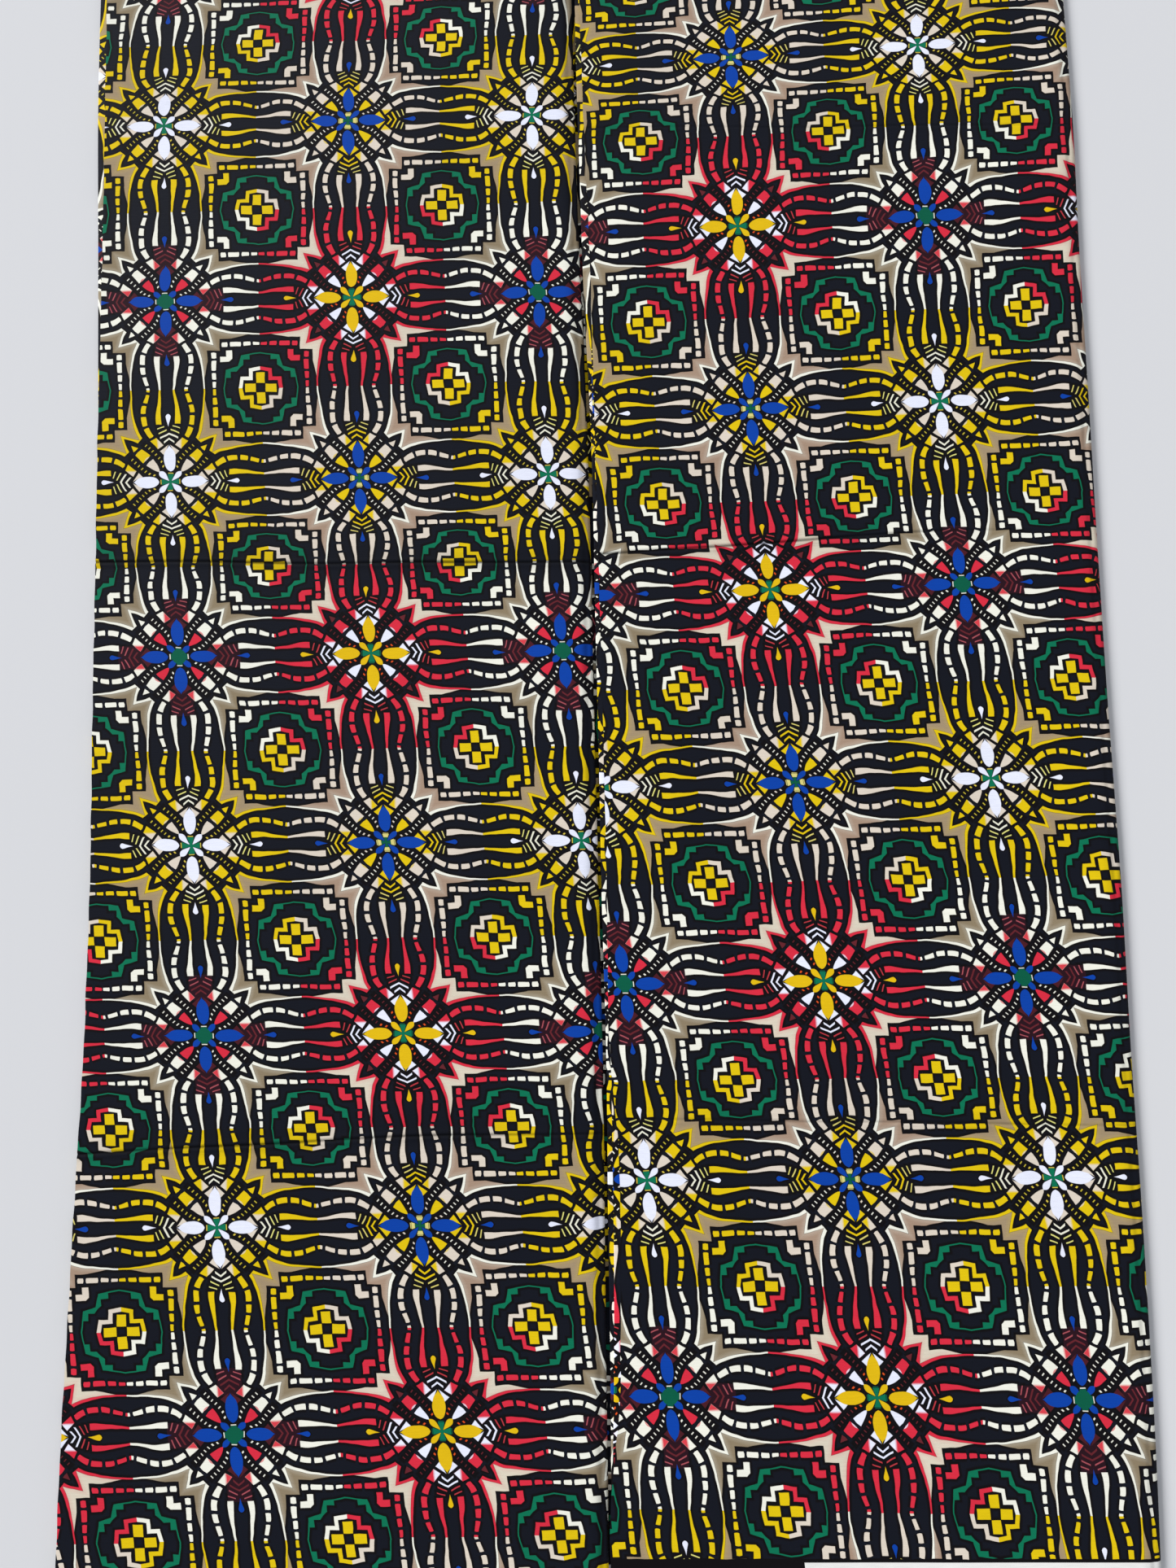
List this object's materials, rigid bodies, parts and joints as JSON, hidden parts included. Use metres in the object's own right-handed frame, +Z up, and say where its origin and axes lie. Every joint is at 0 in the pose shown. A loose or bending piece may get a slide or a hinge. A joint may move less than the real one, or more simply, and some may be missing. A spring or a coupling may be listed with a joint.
{
  "type": "folded printed cotton cloth",
  "caption": "Length of wax-print cotton cloth, fan-folded into long flat leaves and opened into two stacks that lie side by side.",
  "frame": {"origin": "middle of the floor that the folded cloth covers, on the surface it lies on", "axes": "+X along the cloth's length, from the left stack to the right one; +Y across the cloth, from its lower selvage to its upper one; +Z up"},
  "size_m": [0.745, 1.2036, 0.0077],
  "materials": {
    "printed_cotton": "plain-woven cotton, printed near black with yellow, cream, red, blue and green ornament, smooth with a faint sheen"
  },
  "bodies": {
    "root": {"bottom_leaf": "printed_cotton", "left_packed_leaves": "printed_cotton", "left_top_leaf": "printed_cotton", "right_packed_leaves": "printed_cotton", "right_top_leaf": "printed_cotton"}
  },
  "joints": []
}
